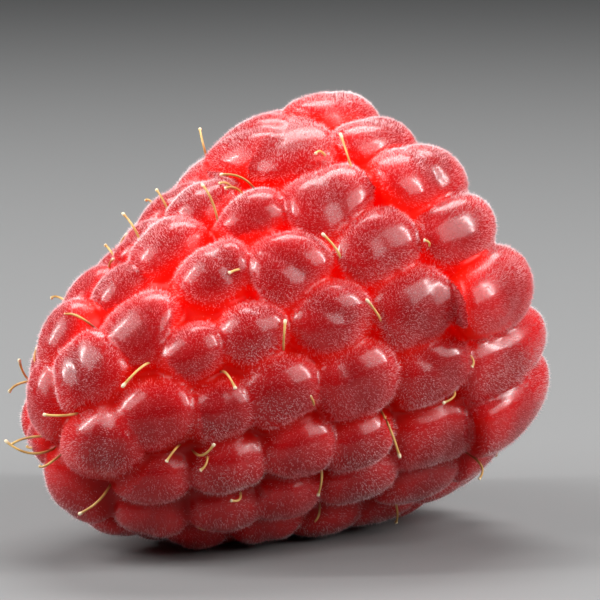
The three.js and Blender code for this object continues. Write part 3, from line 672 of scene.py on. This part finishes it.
def style_tubes(knots, radius, head):
    """Tubes on cubic Bezier paths, a little thicker at the root, with a bell-shaped swelling of
    the radius near the far end for the head. Gives the points and the rings' shares of the path."""
    t = np.linspace(0, 1, STYLE_RINGS)
    t = np.concatenate([t[:-2], HEAD_STEPS])
    basis = np.stack([(1 - t) ** 3, 3 * t * (1 - t) ** 2, 3 * t ** 2 * (1 - t), t ** 3], 1)
    slope = np.stack([-3 * (1 - t) ** 2, 3 * (1 - t) ** 2 - 6 * t * (1 - t),
                      6 * t * (1 - t) - 3 * t ** 2, 3 * t ** 2], 1)
    path = np.einsum("tk,nkd->ntd", basis, knots)
    ahead = unit(np.einsum("tk,nkd->ntd", slope, knots))
    side = unit(np.cross(ahead, [0.13, 0.71, 0.69]))
    other = np.cross(ahead, side)
    swell = radius * (1 + STYLE_FLARE * (1 - t))
    swell += (head - radius) * np.exp(-((t - HEAD_AT) / HEAD_SPREAD) ** 2)
    swell[-1] = radius / 2
    turns = np.linspace(0, 2 * np.pi, STYLE_SIDES, endpoint=False)
    ring = (np.cos(turns)[:, None] * side[:, :, None] + np.sin(turns)[:, None] * other[:, :, None])
    return path[:, :, None] + ring * swell[None, :, None, None], t


tubes, way_up = style_tubes(laid_down(style_knots()), STYLE_RADIUS, STYLE_HEAD)
tubes = tubes[tubes[..., 2].min((1, 2)) > STYLE_CLEARANCE]
tube_rings = tubes.shape[1]
walls = closed_grid((tube_rings, STYLE_SIDES), 0)
cap = np.array([[0, 1, 2, 3], [0, 3, 4, 5]])
tube_faces = np.concatenate([walls, cap[:, ::-1], cap + (tube_rings - 1) * STYLE_SIDES])
faces = np.concatenate([tube_faces + k * tube_rings * STYLE_SIDES for k in range(len(tubes))])
style_mesh = mesh_of(tubes.reshape(-1, 3) * MM, faces, "styles")
style_mesh.polygons.foreach_set("use_smooth", np.ones(len(faces), bool))
attribute(style_mesh, "way_up", np.tile(np.repeat(way_up, STYLE_SIDES), len(tubes)))
style = placed("styles", style_mesh)
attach(style, "root")
dry, tree, bsdf = shader("dry style")
place = node(tree, "ShaderNodeTexCoord").outputs["Object"]
tint = node(tree, "ShaderNodeTexNoise", {"Vector": place, "Scale": 900.0, "Detail": 2.0})
height_up = read(tree, "way_up")
straw = mixed(tree, spread(tree, tint.outputs["Fac"], 0.35, 0.65), STRAW, STRAW_PALE)
grown = mixed(tree, spread(tree, height_up, 0.3, 0.6), ROOT_BROWN, straw)
headed = mixed(tree, spread(tree, height_up, 0.93, 0.97), grown, HEAD_CREAM)
tree.links.new(headed, bsdf.inputs["Base Color"])
bsdf.inputs["Roughness"].default_value = 0.4
style_mesh.materials.append(dry)

# ---------------------------------------------------------------------------------------------
# The camera: low, to the tip's side and well back, with a long lens, as for a close portrait of
# fruit.
# ---------------------------------------------------------------------------------------------
VIEW_SIDE = -39.4  # degrees from the front, round to the left
VIEW_RISE = 8.0  # degrees above level
CAMERA_DISTANCE = 190.0  # mm
PICTURE_WIDTH = 600  # pixels
PIXELS_PER_MM = 22.0  # at the fruit's middle
AIM_OFFSET = (1.86, 2.36)  # mm that the picture's middle lies right of and above the axis middle
SENSOR = 36.0  # mm


def level_frame(azimuth, elevation):
    """Right, up and backward directions of something level that faces the fruit from there."""
    azimuth, elevation = np.radians([azimuth, elevation])
    back = np.array([np.sin(azimuth) * np.cos(elevation), -np.cos(azimuth) * np.cos(elevation),
                     np.sin(elevation)])
    right = np.array([np.cos(azimuth), np.sin(azimuth), 0.0])
    return right, np.cross(back, right), back


def stood(name, data, place, directions):
    """Puts a camera or a lamp at a place in mm, turned to three directions."""
    made = placed(name, data)
    turned = Matrix(np.column_stack(directions).tolist()).to_4x4()
    made.matrix_world = Matrix.Translation(Vector(place * MM)) @ turned
    return made


right, up, back = level_frame(VIEW_SIDE, VIEW_RISE)
aim = AXIS_MIDDLE + AIM_OFFSET[0] * right + AIM_OFFSET[1] * up
lens = bpy.data.cameras.new("portrait lens")
lens.sensor_fit = "HORIZONTAL"
lens.sensor_width = SENSOR
lens.lens = SENSOR * CAMERA_DISTANCE * PIXELS_PER_MM / PICTURE_WIDTH
lens.clip_start = 0.01
bpy.context.scene.camera = stood("camera", lens, aim + back * CAMERA_DISTANCE, (right, up, back))
bpy.context.scene.view_settings.view_transform = "Standard"

# ---------------------------------------------------------------------------------------------
# The stage: a plain pale floor under soft studio light. Large boxes give the broad sheen on the
# crowns, and narrow strips beside them the white glints in it.
# ---------------------------------------------------------------------------------------------
FLOOR = 0.6  # m, half its side
floor_mesh = bpy.data.meshes.new("floor")
floor_mesh.from_pydata([(-FLOOR, -FLOOR, 0), (FLOOR, -FLOOR, 0), (FLOOR, FLOOR, 0),
                        (-FLOOR, FLOOR, 0)], [], [(0, 1, 2, 3)])
floor = placed("floor", floor_mesh)
floor_material, tree, bsdf = shader("pale floor")
bsdf.inputs["Base Color"].default_value = (0.2, 0.2, 0.2, 1)
bsdf.inputs["Roughness"].default_value = 0.6
floor_mesh.materials.append(floor_material)

world = bpy.data.worlds.new("studio")
world.use_nodes = True
world.node_tree.nodes["Background"].inputs["Color"].default_value = (0.5, 0.56, 0.6, 1)
world.node_tree.nodes["Background"].inputs["Strength"].default_value = 0.05
bpy.context.scene.world = world

LIGHT_DISTANCE = 0.3  # m


def soft_box(name, azimuth, elevation, width, height, power, distance=LIGHT_DISTANCE):
    """A rectangular soft light that faces the fruit from so many degrees round from the camera and
    above level, with its sizes and distance in metres and its power in watts."""
    light = bpy.data.lights.new(name, "AREA")
    light.shape = "RECTANGLE"
    light.size = width
    light.size_y = height
    light.energy = power
    directions = level_frame(VIEW_SIDE + azimuth, elevation)
    stood(name, light, AXIS_MIDDLE + directions[2] * distance / MM, directions)


soft_box("left box", -74, 42, 0.24, 0.22, 0.82)
soft_box("right box", 64, 38, 0.21, 0.24, 0.7)
soft_box("left strip", -84, 36, 0.018, 0.16, 0.52)
soft_box("right strip", 80, 34, 0.018, 0.18, 0.52)
soft_box("top soft box", 175, 62, 0.2, 0.1, 0.75)
soft_box("front fill", -10, 35, 0.3, 0.2, 0.05, distance=0.4)
